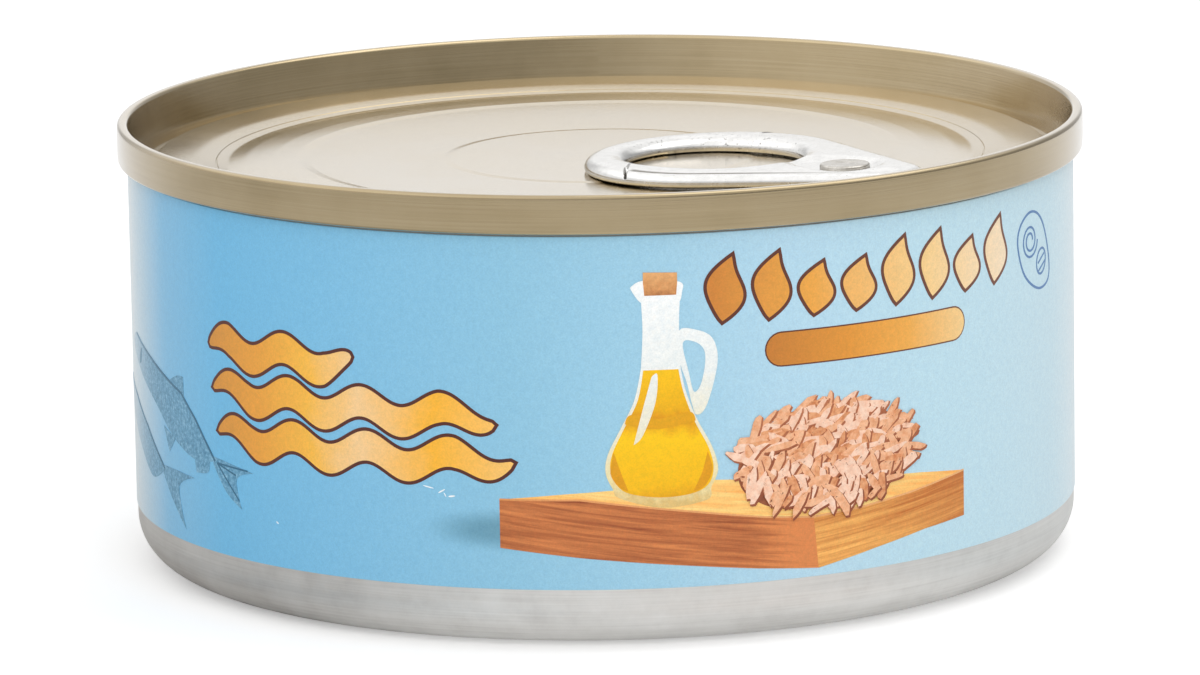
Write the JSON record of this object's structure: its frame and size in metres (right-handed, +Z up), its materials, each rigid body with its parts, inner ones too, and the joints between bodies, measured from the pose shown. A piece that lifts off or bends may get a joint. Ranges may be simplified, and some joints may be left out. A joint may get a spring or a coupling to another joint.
{
  "type": "round food can with ring-pull end",
  "caption": "Low round steel can with a rounded base, wrap-around printed label, seamed easy-open end and ring-pull tab.",
  "frame": {"origin": "centre of the base, on the surface the can stands on", "axes": "+Z up along the can's axis; -Y is the front of the label, and the tab's nose points 36 degrees from +X towards -Y"},
  "size_m": [0.086, 0.086, 0.0394],
  "materials": {
    "body_steel": "satin bare steel",
    "label_print": "coated paper, printed in colour",
    "end_steel": "pale gold lacquered steel, satin",
    "tab_aluminium": "polished, lightly scuffed"
  },
  "bodies": {
    "root": {"can_body": "body_steel", "label": "label_print", "easy_open_end": "end_steel", "pull_tab": "tab_aluminium"}
  },
  "joints": []
}
